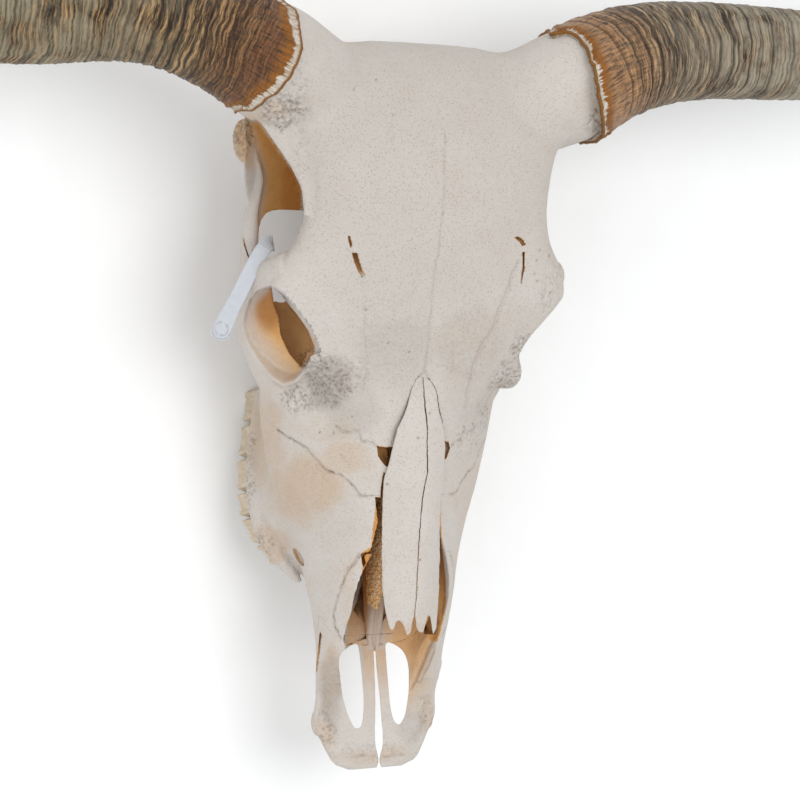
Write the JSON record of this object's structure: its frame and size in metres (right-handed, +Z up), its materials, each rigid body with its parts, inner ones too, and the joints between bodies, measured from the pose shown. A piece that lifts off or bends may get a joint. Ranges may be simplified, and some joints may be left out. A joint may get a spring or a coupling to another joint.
{
  "type": "longhorn cattle skull",
  "caption": "Bleached skull of a longhorn cow without its lower jaw, with both horn sheaths and a plain identification strap on one eye socket.",
  "frame": {"origin": "on the floor, under the middle of the bounding box", "axes": "+X to the animal's left, +Y from the muzzle towards the poll, +Z up from the floor the skull lies on"},
  "size_m": [1.2096, 0.6582, 0.4043],
  "materials": {
    "bone": "matte, slightly rough bleached bone",
    "spongy_bone": "matte brown-stained spongy bone",
    "horn": "satin, ridged keratin",
    "tag": "satin translucent strap plastic"
  },
  "bodies": {
    "root": {"cranium": "bone", "maxilla_right": "bone", "maxilla_left": "bone", "nasal_right": "bone", "nasal_left": "bone", "premaxilla_right": "bone", "premaxilla_left": "bone", "vomer": "bone", "concha_right": "spongy_bone", "concha_left": "spongy_bone", "horn_right": "horn", "horn_left": "horn", "tag_strap": "tag"}
  },
  "joints": []
}
